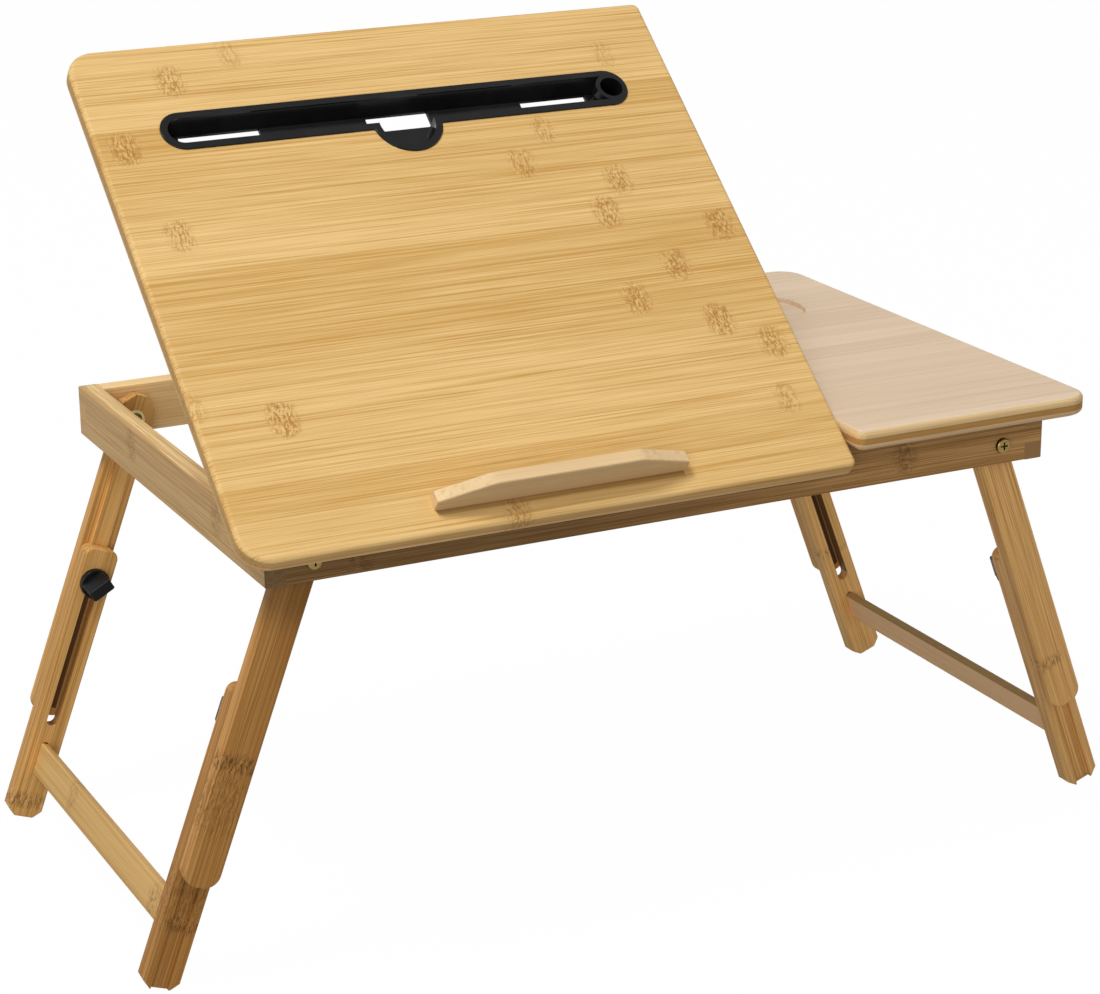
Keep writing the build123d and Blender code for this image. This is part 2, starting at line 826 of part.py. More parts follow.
def knob(side, end, blade_angle):
    """A wing knob: a round flange against the leg and a blade to turn it by."""
    plane = leg_plane(side, end).offset(leg_depth + knob_gap)
    with BuildPart() as wing:
        with BuildSketch(plane):
            with Locations((knob_along, 0)):
                Circle(knob_radius)
        extrude(amount=knob_thickness)
        fillet(face_edges(wing, plane, -1), knob_edge_radius)
        with BuildSketch(plane.offset(knob_thickness)):
            with Locations((knob_along, 0)):
                RectangleRounded(blade_length, blade_foot_width, blade_corner_radius, rotation=blade_angle)
        with BuildSketch(plane.offset(knob_thickness + blade_height)):
            with Locations((knob_along, 0)):
                RectangleRounded(blade_tip_length, blade_tip_width, blade_corner_radius, rotation=blade_angle)
        loft()
        fillet(face_edges(wing, plane, -1), knob_edge_radius)
        with BuildSketch(plane):
            with Locations((knob_along, 0)):
                Circle(stud_radius + fit_gap)
        extrude(amount=stud_grip, mode=Mode.SUBTRACT)
    return wing


def knob_stud(side, end):
    """The steel stud from the knob through the slot into the threaded insert."""
    tip = upper_thickness - insert_length + stud_tip_gap
    with BuildPart() as stud:
        with BuildSketch(leg_plane(side, end).offset(tip)):
            with Locations((knob_along, 0)):
                Circle(stud_radius)
        extrude(amount=leg_depth + knob_gap + stud_grip - tip)
    return stud


def bolt_plane(side, end):
    """Where a pivot bolt's head bears on the frame, facing outwards."""
    return Plane((side * pivot_x, end_face(end), pivot_z), z_dir=(0, end, 0))


with BuildPart() as pivot_bolts:
    for side in sides.values():
        for end in ends.values():
            face = bolt_plane(side, end)
            with BuildSketch(face):
                Circle(bolt_head_radius)
            extrude(amount=bolt_head_height)
            with BuildSketch(face):
                Circle(bolt_radius)
            extrude(amount=-(rail_thickness + leg_gap + bolt_engagement))
    heads = pivot_bolts.edges().filter_by(GeomType.CIRCLE).sort_by(Axis.Y)
    fillet(heads[:2] + heads[-2:], bolt_head_height / 2)
    for side in sides.values():
        for end in ends.values():
            with BuildSketch(bolt_plane(side, end).offset(bolt_head_height)):
                Rectangle(recess_length, recess_width)
                Rectangle(recess_width, recess_length)
            extrude(amount=-recess_depth, mode=Mode.SUBTRACT)

with BuildPart() as sleeve_nuts:
    for side in sides.values():
        for end in ends.values():
            plane = leg_plane(side, end)
            with BuildSketch(plane.offset(fit_gap)):
                Circle(sleeve_radius)
            extrude(amount=flange_thickness - nut_sink - fit_gap)
            with BuildSketch(plane.offset(flange_thickness - nut_recess + run_gap)):
                Circle(nut_radius)
            extrude(amount=nut_recess - nut_sink - run_gap)
            with BuildSketch(plane):
                Circle(bolt_radius + fit_gap)
            extrude(amount=bolt_engagement + fit_gap, mode=Mode.SUBTRACT)
            with BuildSketch(plane.offset(flange_thickness - nut_sink)):
                Circle(dish_radius)
            extrude(amount=-dish_depth, mode=Mode.SUBTRACT)
            with BuildSketch(plane.offset(flange_thickness - nut_sink - dish_depth)):
                RegularPolygon(socket_radius, hex_sides)
            extrude(amount=-socket_depth, mode=Mode.SUBTRACT)

with BuildPart() as pivot_washers:
    for side in sides.values():
        for end in ends.values():
            inner_face = Plane(
                (side * pivot_x, end_face(end) - end * rail_thickness, pivot_z),
                z_dir=(0, -end, 0),
            )
            with BuildSketch(inner_face):
                Circle(washer_radius)
                Circle(bolt_radius + fit_gap, mode=Mode.SUBTRACT)
            extrude(amount=washer_thickness)

# Drawer under the fixed panel, opening to the right
drawer_low = rail_bottom + drawer_sill + drawer_gap
drawer_high = rail_top - drawer_gap
drawer_height = drawer_high - drawer_low
drawer_mid_z = (drawer_low + drawer_high) / 2
drawer_back_x = split_x + divider_thickness / 2 + drawer_back_gap
drawer_half = drawer_width / 2
drawer_inside = drawer_width - 2 * drawer_wall
tray_length = inner_x - drawer_back_x - drawer_wall


def cut_bottom_groove():
    """The groove that holds the drawer's bottom; belongs inside a builder's block."""
    with Locations((drawer_back_x + drawer_wall - groove_bite, mid_y, drawer_low + drawer_bottom_lift)):
        Box(
            tray_length + 2 * groove_bite,
            drawer_inside + 2 * groove_bite,
            drawer_bottom_thickness,
            align=(Align.MIN, Align.CENTER, Align.MIN),
            mode=Mode.SUBTRACT,
        )


with BuildPart() as drawer_bottom:
    with Locations((drawer_back_x + drawer_wall - groove_bite, mid_y, drawer_low + drawer_bottom_lift)):
        Box(
            tray_length + 2 * groove_bite,
            drawer_inside + 2 * groove_bite,
            drawer_bottom_thickness,
            align=(Align.MIN, Align.CENTER, Align.MIN),
        )

with BuildPart() as drawer_front:
    with Locations((inner_x, mid_y, drawer_mid_z)):
        Box(rail_thickness, drawer_width, drawer_height, align=(Align.MIN, Align.CENTER, Align.CENTER))
    with BuildSketch(Plane.YZ.offset(inner_x)):
        with Locations((mid_y, drawer_high)):
            Circle(finger_notch_radius)
    extrude(amount=rail_thickness, mode=Mode.SUBTRACT)
    cut_bottom_groove()

with BuildPart() as drawer_back:
    with Locations((drawer_back_x, mid_y, drawer_mid_z)):
        Box(drawer_wall, drawer_inside, drawer_height, align=(Align.MIN, Align.CENTER, Align.CENTER))
    cut_bottom_groove()


def drawer_side(end):
    """One long wall of the drawer."""
    with BuildPart() as wall:
        with Locations((drawer_back_x, mid_y + end * (drawer_half - drawer_wall / 2), drawer_mid_z)):
            Box(
                inner_x - drawer_back_x,
                drawer_wall,
                drawer_height,
                align=(Align.MIN, Align.CENTER, Align.CENTER),
            )
        cut_bottom_groove()
    return wall


# Write every piece
os.makedirs("parts", exist_ok=True)
pieces = {
    "front_rail": front_rail,
    "back_rail": back_rail,
    "left_rail": left_rail,
    "right_rail": right_rail,
    "divider": divider,
    "slat_left": slat_left,
    "slat_right": slat_right,
    "runner_front": runner_front,
    "runner_back": runner_back,
    "fixed_panel": fixed_panel,
    "hinge_rail_leaves": hinge_rail_leaves,
    "hinge_panel_leaves": hinge_panel_leaves,
    "hinge_pins": hinge_pins,
    "tilting_panel": tilting_panel,
    "slot_insert": slot_insert,
    "stop_ledge": stop_ledge,
    "rack_left": rack_left,
    "rack_right": rack_right,
    "prop_arm_left": prop_arm_left,
    "prop_arm_right": prop_arm_right,
    "prop_crossbar": prop_crossbar,
    "prop_pins": prop_pins,
    "pivot_bolts": pivot_bolts,
    "sleeve_nuts": sleeve_nuts,
    "pivot_washers": pivot_washers,
    "drawer_front": drawer_front,
    "drawer_back": drawer_back,
    "drawer_bottom": drawer_bottom,
}
for end_name, end in ends.items():
    pieces[f"drawer_side_{end_name}"] = drawer_side(end)
for side_name, side in sides.items():
    pieces[f"stretcher_{side_name}"] = stretcher(side)
    pieces[f"threaded_inserts_{side_name}"] = threaded_inserts(side)
    for end_name, end in ends.items():
        place = f"{end_name}_{side_name}"
        pieces[f"upper_leg_{place}"] = upper_leg(side, end)
        pieces[f"lower_leg_{place}"] = lower_leg(side, end)
        pieces[f"knob_{place}"] = knob(side, end, blade_angles[place])
        pieces[f"knob_stud_{place}"] = knob_stud(side, end)
for name, builder in pieces.items():
    save(builder, name)
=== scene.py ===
import json
import math
import bpy
from mathutils import Matrix, Vector


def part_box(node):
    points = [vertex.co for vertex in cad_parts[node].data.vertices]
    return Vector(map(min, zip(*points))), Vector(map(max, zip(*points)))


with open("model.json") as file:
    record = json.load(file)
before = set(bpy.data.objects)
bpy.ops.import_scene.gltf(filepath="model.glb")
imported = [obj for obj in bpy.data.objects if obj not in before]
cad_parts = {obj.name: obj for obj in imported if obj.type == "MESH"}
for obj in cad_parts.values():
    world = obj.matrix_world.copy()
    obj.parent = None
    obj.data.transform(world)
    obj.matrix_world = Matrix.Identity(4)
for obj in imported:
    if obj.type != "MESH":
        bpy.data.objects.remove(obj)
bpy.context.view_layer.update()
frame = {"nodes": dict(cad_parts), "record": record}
nodes = frame["nodes"]
record = frame["record"]
joints = {j["name"]: j for j in record["behaviour"]["joints"]}
mounts = {m["name"]: m for m in record["mounts"]}
print("frame loaded:", len(nodes), "nodes")

# directions that the grain follows, read from the frame
xAxis, yAxis, zAxis = Vector((1, 0, 0)), Vector((0, 1, 0)), Vector((0, 0, 1))
panelNormal = Vector(mounts["pen_hole"]["axis"]).normalized()
panelUp = xAxis.cross(panelNormal) * -1
hingeLine = Vector(joints["panel_tilt"]["pos_m"])
frameMidY = (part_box("front_rail")[0][1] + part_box("back_rail")[1][1]) / 2
legUp = {side: Vector(joints[side + "_legs_extend"]["axis"]).normalized() for side in ("left", "right")}


# shader helpers
def newMaterial(name):
    mat = bpy.data.materials.new(name)
    mat.use_nodes = True
    return mat, mat.node_tree, mat.node_tree.nodes["Principled BSDF"]


def mathNode(tree, operation, a, b=None, clamp=False):
    node = tree.nodes.new("ShaderNodeMath")
    node.operation = operation
    node.use_clamp = clamp
    for index, value in enumerate((a, b)):
        if value is None:
            continue
        if isinstance(value, (int, float)):
            node.inputs[index].default_value = value
        else:
            tree.links.new(value, node.inputs[index])
    return node.outputs[0]


def swing(tree, noise, strength):  # noise lies about a half, so it lightens as much as it darkens
    return mathNode(tree, "MULTIPLY", mathNode(tree, "SUBTRACT", noise, 0.5), strength)


def awayFrom(tree, value, middle):
    return mathNode(tree, "ABSOLUTE", mathNode(tree, "SUBTRACT", value, middle))


def mapRange(tree, value, fromMin, fromMax, toMin=0.0, toMax=1.0, smooth=True):
    node = tree.nodes.new("ShaderNodeMapRange")
    node.interpolation_type = "SMOOTHSTEP" if smooth else "LINEAR"
    for index, entry in enumerate((value, fromMin, fromMax, toMin, toMax)):
        if isinstance(entry, (int, float)):
            node.inputs[index].default_value = entry
        else:
            tree.links.new(entry, node.inputs[index])
    return node.outputs[0]


def mixColour(tree, factor, a, b, blend="MIX"):
    node = tree.nodes.new("ShaderNodeMix")
    node.data_type = "RGBA"
    node.blend_type = blend
    sockets = [s for s in node.inputs if s.enabled]
    for socket, value in zip(sockets, (factor, a, b)):
        if isinstance(value, (int, float)):
            socket.default_value = value
        elif isinstance(value, (tuple, list)):
            socket.default_value = (*value[:3], 1)
        else:
            tree.links.new(value, socket)
    return [s for s in node.outputs if s.enabled][0]


def noiseNode(tree, vector, scale=1.0, detail=2.0, roughness=0.5, distortion=0.0):
    node = tree.nodes.new("ShaderNodeTexNoise")
    node.inputs["Scale"].default_value = scale
    node.inputs["Detail"].default_value = detail
    node.inputs["Roughness"].default_value = roughness
    node.inputs["Distortion"].default_value = distortion
    tree.links.new(vector, node.inputs["Vector"])
    return node.outputs["Fac"]


def scaledVector(tree, vector, scale, offset=None):
    node = tree.nodes.new("ShaderNodeVectorMath")
    node.operation = "MULTIPLY"
    tree.links.new(vector, node.inputs[0])
    node.inputs[1].default_value = scale
    if offset is None:
        return node.outputs[0]
    add = tree.nodes.new("ShaderNodeVectorMath")
    add.operation = "ADD"
    tree.links.new(node.outputs[0], add.inputs[0])
    tree.links.new(offset, add.inputs[1])
    return add.outputs[0]


def splitVector(tree, vector):
    node = tree.nodes.new("ShaderNodeSeparateXYZ")
    tree.links.new(vector, node.inputs[0])
    return node.outputs


def addBump(tree, shader, height, strength, distance):
    bump = tree.nodes.new("ShaderNodeBump")
    bump.inputs["Strength"].default_value = strength
    bump.inputs["Distance"].default_value = distance
    tree.links.new(height, bump.inputs["Height"])
    tree.links.new(bump.outputs[0], shader.inputs["Normal"])


def newGroup(name, inputs, outputs):
    group = bpy.data.node_groups.new(name, "ShaderNodeTree")
    for label, kind, value in inputs:
        socket = group.interface.new_socket(label, in_out="INPUT", socket_type=kind)
        if value is not None:
            socket.default_value = value
    for label, kind in outputs:
        group.interface.new_socket(label, in_out="OUTPUT", socket_type=kind)
    start = group.nodes.new("NodeGroupInput")
    end = group.nodes.new("NodeGroupOutput")
    return group, start.outputs, end.inputs


def useGroup(tree, group, values):
    node = tree.nodes.new("ShaderNodeGroup")
    node.node_tree = group
    for label, value in values.items():
        if isinstance(value, bpy.types.NodeSocket):
            tree.links.new(value, node.inputs[label])
        elif isinstance(value, (tuple, list)):
            node.inputs[label].default_value = (*value[:3], 1)
        else:
            node.inputs[label].default_value = value
    return node.outputs


# a knuckle: the short dark patch where a cane's joint crosses one strip
knuckleEdge = {"cells": (140, 300, 300), "bluntness": 4.0, "core": -0.3, "rim": 1.6}


def makeKnuckleGroup():
    tree, inp, out = newGroup(
        "bambooKnuckle",
        (
            ("Vector", "NodeSocketVector", None),
            ("Along", "NodeSocketFloat", 0.0),
            ("Across", "NodeSocketFloat", 0.0),
            ("Length", "NodeSocketFloat", 0.009),
            ("Width", "NodeSocketFloat", 0.011),
            ("Strength", "NodeSocketFloat", 1.0),
            ("Raggedness", "NodeSocketFloat", 1.1),
        ),
        (("Mask", "NodeSocketFloat"),),
    )
    along, across = splitVector(tree, inp["Vector"])[:2]
    ragged = noiseNode(tree, scaledVector(tree, inp["Vector"], knuckleEdge["cells"]))
    far = mathNode(tree, "DIVIDE", mathNode(tree, "SUBTRACT", along, inp["Along"]), inp["Length"])
    wide = mathNode(tree, "DIVIDE", awayFrom(tree, across, inp["Across"]), inp["Width"])
    blunt = mathNode(tree, "POWER", wide, knuckleEdge["bluntness"])  # it stops sharply at the strip's sides
    away = mathNode(tree, "ADD", mathNode(tree, "MULTIPLY", far, far), blunt)
    away = mathNode(tree, "ADD", away, swing(tree, ragged, inp["Raggedness"]))
    inside = mapRange(tree, away, knuckleEdge["core"], knuckleEdge["rim"], 1, 0)
    tree.links.new(mathNode(tree, "MULTIPLY", inside, inp["Strength"]), out["Mask"])
    return tree


# bamboo: glued strips with dark lines and fine fibres, which wave where they pass a knuckle
grainCells = {  # noise cells to the metre along the grain, across it and through it
    "ragged": (60, 420, 420), "wave": (480, 110, 110), "fibre": (14, 1700, 600), "line": (5, 1000, 300),
    "streak": (2.5, 170, 170), "cloud": (3, 9, 9), "crumb": (820, 300, 300), "fringe": (170, 1000, 400),
}
stripRows = {"seedStep": 7.31, "noiseShift": 40.0, "seamCore": 0.0001, "seamRim": 0.0007}
chanceKnuckle = {"spacing": 0.2, "raggedness": 0.012, "stagger": 5.7, "core": 0.002, "rim": 0.0095, "strength": 0.8}
# a knuckle's crumbs: how they wave and stain, and the painted highlight (glint) on them
knuckleGrain = {"wave": 0.0035, "gritFrom": 0.42, "gritTo": 0.62, "glintFrom": 0.34, "glintTo": 0.46,
                "leastStain": 0.1, "mostStain": 0.95, "glint": 0.7}
grainTone = {"base": 0.42, "cloud": 0.6, "fibre": 2.0, "lineFrom": 0.5, "lineTo": 0.72}
grainRough = {"base": 0.46, "fibre": 0.16, "stain": 0.15}
grainHeight = {"fibre": 0.5, "line": 0.4, "stain": 0.35}


def makeBambooGroup():
    tree, inp, out = newGroup(
        "bambooStrips",
        (
            ("Vector", "NodeSocketVector", None),
            ("Mask", "NodeSocketFloat", 0.0),
            ("Light", "NodeSocketColor", (0.8, 0.6, 0.4, 1)),
            ("Dark", "NodeSocketColor", (0.6, 0.4, 0.22, 1)),
            ("Knuckle", "NodeSocketColor", (0.4, 0.24, 0.1, 1)),
            ("Strip Width", "NodeSocketFloat", 0.02),
            ("Knuckle Spacing", "NodeSocketFloat", 0.25),
            ("Knuckle Share", "NodeSocketFloat", 0.3),
            ("Strip Contrast", "NodeSocketFloat", 0.4),
            ("Streak Strength", "NodeSocketFloat", 0.75),
            ("Line Strength", "NodeSocketFloat", 0.5),
            ("Fibre Strength", "NodeSocketFloat", 0.3),
            ("Seam Strength", "NodeSocketFloat", 0.15),
            ("Fringe", "NodeSocketFloat", 0.0),
            ("Seed", "NodeSocketFloat", 0.0),
        ),
        (("Color", "NodeSocketColor"), ("Roughness", "NodeSocketFloat"), ("Height", "NodeSocketFloat")),
    )
    # strips side by side, each with its own tone and its own stretch of noise
    along, across, deep = splitVector(tree, inp["Vector"])
    row = mathNode(tree, "DIVIDE", across, inp["Strip Width"])
    row = mathNode(tree, "ADD", row, mathNode(tree, "MULTIPLY", inp["Seed"], stripRows["seedStep"]))
    inRow = mathNode(tree, "FRACT", row)
    ownNumber = mathNode(tree, "ADD", mathNode(tree, "FLOOR", row), inp["Seed"])
    white = tree.nodes.new("ShaderNodeTexWhiteNoise")
    white.noise_dimensions = "1D"
    tree.links.new(ownNumber, white.inputs["W"])
    stripValue = white.outputs["Value"]
    shift = tree.nodes.new("ShaderNodeVectorMath")
    shift.operation = "SCALE"
    tree.links.new(white.outputs["Color"], shift.inputs[0])
    shift.inputs["Scale"].default_value = stripRows["noiseShift"]
    ownShift = shift.outputs[0]
    # knuckles by chance, one to a stretch of strip at most
    ragged = noiseNode(tree, scaledVector(tree, inp["Vector"], grainCells["ragged"]))
    station = mathNode(tree, "ADD", along, swing(tree, ragged, chanceKnuckle["raggedness"]))
    station = mathNode(tree, "DIVIDE", station, inp["Knuckle Spacing"])
    station = mathNode(tree, "ADD", station, mathNode(tree, "MULTIPLY", stripValue, chanceKnuckle["stagger"]))
    middle = awayFrom(tree, mathNode(tree, "FRACT", station), 0.5)
    reach = mathNode(tree, "MULTIPLY", middle, inp["Knuckle Spacing"])
    pick = tree.nodes.new("ShaderNodeTexWhiteNoise")
    pick.noise_dimensions = "2D"
    pair = tree.nodes.new("ShaderNodeCombineXYZ")
    tree.links.new(mathNode(tree, "FLOOR", station), pair.inputs[0])
    tree.links.new(ownNumber, pair.inputs[1])
    tree.links.new(pair.outputs[0], pick.inputs["Vector"])
    chosen = mathNode(tree, "LESS_THAN", pick.outputs["Value"], inp["Knuckle Share"])
    chance = mapRange(tree, reach, chanceKnuckle["core"], chanceKnuckle["rim"], 1, 0)
    chance = mathNode(tree, "MULTIPLY", chance, chosen)
    chance = mathNode(tree, "MULTIPLY", chance, chanceKnuckle["strength"])
    knuckle = mathNode(tree, "MAXIMUM", inp["Mask"], chance)
    # the fibres wave round a knuckle
    wave = noiseNode(tree, scaledVector(tree, inp["Vector"], grainCells["wave"]), detail=1)
    wave = swing(tree, wave, knuckleGrain["wave"])
    join = tree.nodes.new("ShaderNodeCombineXYZ")
    tree.links.new(along, join.inputs[0])
    tree.links.new(mathNode(tree, "ADD", across, mathNode(tree, "MULTIPLY", wave, knuckle)), join.inputs[1])
    tree.links.new(deep, join.inputs[2])
    waved = join.outputs[0]
    fibre = noiseNode(tree, scaledVector(tree, waved, grainCells["fibre"], ownShift), roughness=0.65)
    line = noiseNode(tree, scaledVector(tree, waved, grainCells["line"], ownShift), roughness=0.6)
    streak = noiseNode(tree, scaledVector(tree, inp["Vector"], grainCells["streak"], ownShift))
    cloud = noiseNode(tree, scaledVector(tree, inp["Vector"], grainCells["cloud"]))
    crumb = noiseNode(tree, scaledVector(tree, inp["Vector"], grainCells["crumb"]), roughness=0.6, distortion=0.6)
    fringe = noiseNode(tree, scaledVector(tree, waved, grainCells["fringe"]), roughness=0.6)
    fringed = mathNode(tree, "MULTIPLY", mathNode(tree, "SUBTRACT", fringe, crumb), inp["Fringe"])
    crumb = mathNode(tree, "ADD", crumb, fringed)
    # tone: strip by strip, then streaks, clouds, dark lines and fibres
    tone = mathNode(tree, "ADD", swing(tree, stripValue, inp["Strip Contrast"]), grainTone["base"])
    tone = mathNode(tree, "ADD", tone, swing(tree, streak, inp["Streak Strength"]))
    tone = mathNode(tree, "ADD", tone, swing(tree, cloud, grainTone["cloud"]))
    darkLine = mapRange(tree, line, grainTone["lineFrom"], grainTone["lineTo"])
    tone = mathNode(tree, "ADD", tone, mathNode(tree, "MULTIPLY", darkLine, inp["Line Strength"]))
    fine = swing(tree, fibre, inp["Fibre Strength"])
    tone = mathNode(tree, "ADD", tone, mathNode(tree, "MULTIPLY", fine, grainTone["fibre"]), clamp=True)
    colour = mixColour(tree, tone, inp["Light"], inp["Dark"])
    # glue seams between strips, the stained crumbs of a knuckle, and painted highlights: pale glints among its crumbs
    fromEdge = mathNode(tree, "SUBTRACT", 0.5, awayFrom(tree, inRow, 0.5))
    fromEdge = mathNode(tree, "MULTIPLY", fromEdge, inp["Strip Width"])
    seam = mapRange(tree, fromEdge, stripRows["seamCore"], stripRows["seamRim"], 1, 0)
    seam = mathNode(tree, "MULTIPLY", seam, inp["Seam Strength"])
    grit = mapRange(tree, crumb, knuckleGrain["gritFrom"], knuckleGrain["gritTo"])
    stain = mapRange(tree, grit, 0, 1, knuckleGrain["leastStain"], knuckleGrain["mostStain"])
    stain = mathNode(tree, "MULTIPLY", knuckle, stain)
    # painted highlight: glints on a knuckle's crumbs, mixed towards the light wood colour
    glint = mapRange(tree, crumb, knuckleGrain["glintFrom"], knuckleGrain["glintTo"], knuckleGrain["glint"], 0)
    glint = mathNode(tree, "MULTIPLY", knuckle, glint)
    colour = mixColour(tree, glint, colour, inp["Light"])
    colour = mixColour(tree, mathNode(tree, "MAXIMUM", seam, stain), colour, inp["Knuckle"])
    tree.links.new(colour, out["Color"])
    rough = mathNode(tree, "ADD", mathNode(tree, "MULTIPLY", fibre, grainRough["fibre"]), grainRough["base"])
    rough = mathNode(tree, "ADD", rough, mathNode(tree, "MULTIPLY", stain, grainRough["stain"]))
    tree.links.new(rough, out["Roughness"])
    height = mathNode(tree, "SUBTRACT", mathNode(tree, "MULTIPLY", fibre, grainHeight["fibre"]), seam)
    height = mathNode(tree, "SUBTRACT", height, mathNode(tree, "MULTIPLY", darkLine, grainHeight["line"]))
    height = mathNode(tree, "SUBTRACT", height, mathNode(tree, "MULTIPLY", stain, grainHeight["stain"]))
    tree.links.new(height, out["Height"])
    return tree


knuckleGroup = makeKnuckleGroup()
bambooGroup = makeBambooGroup()


def grainVector(tree, grain, normal, origin):
    coords = tree.nodes.new("ShaderNodeTexCoord")
    grain = Vector(grain).normalized()
    normal = Vector(normal).normalized()
    across = normal.cross(grain).normalized()
    turn = Matrix((grain, across, normal))
    mapping = tree.nodes.new("ShaderNodeMapping")
    mapping.inputs["Rotation"].default_value = turn.to_euler("XYZ")
    mapping.inputs["Location"].default_value = turn @ Vector(origin) * -1
    tree.links.new(coords.outputs["Object"], mapping.inputs["Vector"])
    return mapping.outputs[0]


def knuckleMask(tree, vector, look, knuckles):
    mask = 0.0
    for along, across, strength, *stretch in knuckles:  # a fourth value draws the stain out along the grain
        length = look.get("knuckleLength", 0.009) * (0.55 + 0.5 * strength)  # a faint one is shorter
        spot = useGroup(tree, knuckleGroup, {
            "Vector": vector,
            "Along": along,
            "Across": across,
            "Strength": strength,
            "Length": length * (stretch[0] if stretch else 1),
            "Width": look.get("knuckleWidth", 0.011) * (0.8 + 0.2 * strength),
            "Raggedness": look.get("ragged", 1.1),
        })
        mask = mathNode(tree, "MAXIMUM", spot["Mask"], mask)
    return mask


# a glued board, whose plies show on its edges, from the top one down; the same layers also lay painted shade as a
# darker skin on a shaded face
plyBlur = 0.0002
plyShade = {"smooth": 0.49, "rough": 0.59, "lightest": 1.12, "darkest": 0.8}  # rough fibres are darker


def addPlies(tree, vector, colour, rough, plies, border):
    depth = splitVector(tree, vector)[2]
    tone = mapRange(tree, rough, plyShade["smooth"], plyShade["rough"], plyShade["lightest"], plyShade["darkest"])
    rim = 1.0
    if border:  # only round the outside, not in the cup's hollow or underneath
        rim = 0.0
        for axis, side in enumerate(("along", "across")):
            middle, half = border[side]
            out = awayFrom(tree, splitVector(tree, vector)[axis], middle)
            rim = mathNode(tree, "MAXIMUM", mathNode(tree, "GREATER_THAN", out, half - border["width"]), rim)
    for level, plyColour, strength in plies:
        below = mapRange(tree, depth, level - plyBlur, level + plyBlur, strength, 0)
        below = mathNode(tree, "MULTIPLY", below, rim)
        colour = mixColour(tree, below, colour, mixColour(tree, 1.0, plyColour, tone, "MULTIPLY"))
    return colour


endGrain = {"from": 0.0009, "to": 0.0004, "strength": 0.85}  # metres in from the end


def addEnds(tree, vector, colour, ends):
    reach = awayFrom(tree, splitVector(tree, vector)[0], ends["middle"])
    cut = mapRange(tree, reach, ends["half"] - endGrain["from"], ends["half"] - endGrain["to"], 0, endGrain["strength"])
    return mixColour(tree, cut, colour, ends["colour"])


# painted shade drawn as a dark line along the grain: the shade inside a knob's slot, and the contact shadow at the
# ledge's foot
def addTrack(tree, vector, colour, track):
    along, across, deep = splitVector(tree, vector)
    beside = awayFrom(tree, across, track["across"])
    mark = mapRange(tree, beside, track["half"], track["half"] + track["soft"], track["strength"], 0)
    mark = mathNode(tree, "MULTIPLY", mark, mathNode(tree, "LESS_THAN", along, track["top"]))
    mark = mathNode(tree, "MULTIPLY", mark, mathNode(tree, "GREATER_THAN", along, track["top"] - track["run"]))
    inward = awayFrom(tree, deep, frameMidY)
    mark = mathNode(tree, "MULTIPLY", mark, mathNode(tree, "LESS_THAN", inward, track["reach"]))
    return mixColour(tree, mark, colour, track["colour"])


def bambooMaterial(name, grain, normal, look, origin=(0, 0, 0), plies=None, knuckles=(), track=None,
                   border=None, ends=None, shadeFades=()):
    mat, tree, shader = newMaterial(name)
    vector = grainVector(tree, grain, normal, origin)
    strips = useGroup(tree, bambooGroup, {
        "Vector": vector,
        "Mask": knuckleMask(tree, vector, look, knuckles),
        "Light": look["light"],
        "Dark": look["dark"],
        "Knuckle": look["knuckle"],
        "Strip Width": look["stripWidth"],
        "Knuckle Spacing": chanceKnuckle["spacing"],
        "Knuckle Share": look["knuckleShare"],
        "Strip Contrast": look.get("stripContrast", 0.5),
        "Streak Strength": look.get("streaks", 0.75),
        "Line Strength": look.get("lines", 0.5),
        "Fibre Strength": look.get("fibre", 0.35),
        "Seam Strength": look.get("seam", 0.15),
        "Fringe": look.get("fringe", 0.0),
        "Seed": look["seed"],
    })
    colour = strips["Color"]
    for axis, start, stop, first, last in shadeFades:  # painted shade: the colour darkens from one end or side of a piece to the other
        shade = mapRange(tree, splitVector(tree, vector)[axis], start, stop, first, last)
        colour = mixColour(tree, 1.0, colour, shade, "MULTIPLY")
    if plies:
        colour = addPlies(tree, vector, colour, strips["Roughness"], plies, border)
    if ends:
        colour = addEnds(tree, vector, colour, ends)
    if track:
        colour = addTrack(tree, vector, colour, track)
    tree.links.new(colour, shader.inputs["Base Color"])
    tree.links.new(strips["Roughness"], shader.inputs["Roughness"])
    addBump(tree, shader, strips["Height"], look.get("bump", 0.3), 0.0004)
    shader.inputs["Specular IOR Level"].default_value = look.get("gloss", 0.16)
    return mat


def setMaterial(node, mat):
    obj = nodes[node]
    obj.data.materials.clear()
    obj.data.materials.append(mat)


# looks of the woods
panelLook = {
    "light": (0.82, 0.555, 0.235), "dark": (0.57, 0.32, 0.085), "knuckle": (0.40, 0.18, 0.034),
    "stripWidth": 0.0205, "stripContrast": 0.62, "seam": 0.25,
    "knuckleShare": 0.0, "knuckleLength": 0.0088, "knuckleWidth": 0.0122,
    "streaks": 0.5, "lines": 0.85, "fibre": 1.0, "bump": 0.05, "seed": 3.0,
}
sideLook = {
    "light": (0.835, 0.66, 0.48), "dark": (0.71, 0.535, 0.37), "knuckle": (0.45, 0.28, 0.14),
    "stripWidth": 0.022, "stripContrast": 0.7, "knuckleShare": 0.06,
    "lines": 0.7, "fibre": 0.8, "gloss": 0.05, "seed": 11.0,
}
railLook = {
    "light": (0.88, 0.58, 0.235), "dark": (0.52, 0.275, 0.072), "knuckle": (0.32, 0.155, 0.045),
    "stripWidth": 0.04, "knuckleShare": 0.0, "fringe": 0.6, "lines": 1.6, "fibre": 1.2, "seed": 5.0,
}
# painted shade: a darker copy of the rail look, used on the front rail, the right rail and the drawer front
shadedRailLook = dict(railLook, light=(0.42, 0.24, 0.092), dark=(0.21, 0.105, 0.03), knuckle=(0.12, 0.055, 0.016),
                     seed=7.0)
